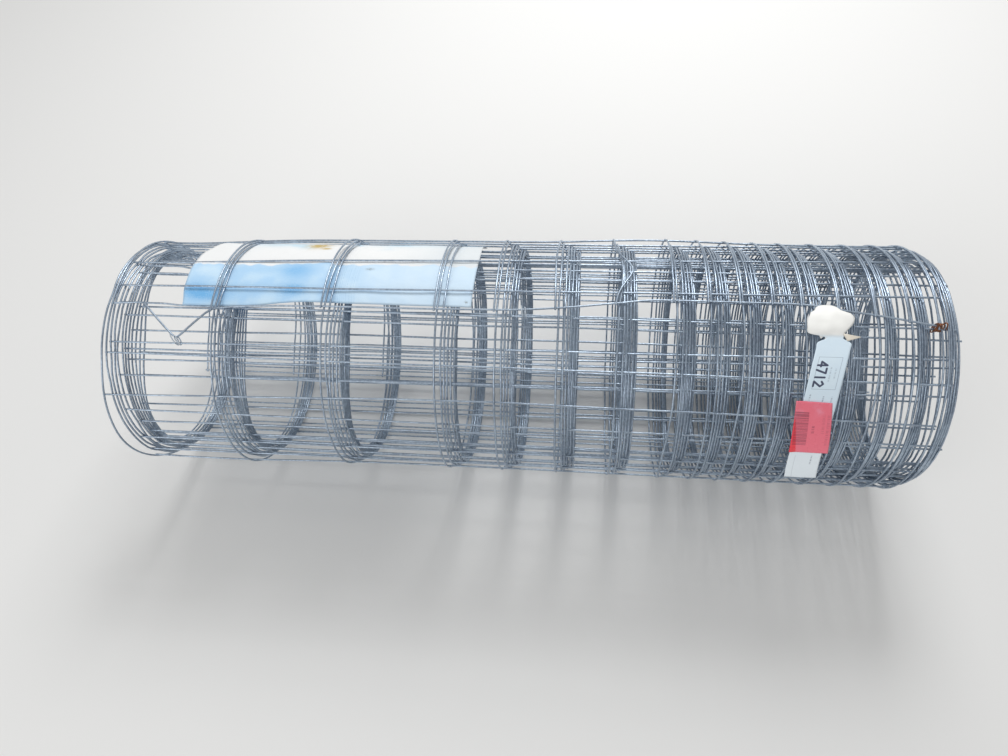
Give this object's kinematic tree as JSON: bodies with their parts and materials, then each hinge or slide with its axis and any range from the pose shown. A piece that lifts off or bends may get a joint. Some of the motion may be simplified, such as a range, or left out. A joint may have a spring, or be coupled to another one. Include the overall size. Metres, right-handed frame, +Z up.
{
  "type": "roll of welded wire mesh",
  "caption": "Roll of galvanized welded wire mesh on its side, with cells that narrow towards one edge, a tucked-in paper label and a hanging strip tag.",
  "frame": {"origin": "centre of the base, under the middle of the roll, at floor level", "axes": "+X along the roll towards the edge with the narrow cells, +Z up, -Y towards the side that shows the tag"},
  "size_m": [0.7332, 0.2257, 0.226],
  "materials": {
    "galvanized_wire": "dull weathered zinc",
    "label_paper": "matt printed paper, faded pale blue",
    "tag_paper": "matt white paper",
    "red_sticker": "slightly glossy red sticker",
    "bright_tie_wire": "bright zinc",
    "rusty_tie_wire": "rusted wire"
  },
  "bodies": {
    "root": {"mesh_roll": "galvanized_wire", "label_sheet": "label_paper", "lot_tag": "tag_paper", "tag_sticker": "red_sticker", "tie_left": "bright_tie_wire", "tie_middle": "bright_tie_wire", "tie_right": "rusty_tie_wire"}
  },
  "joints": []
}
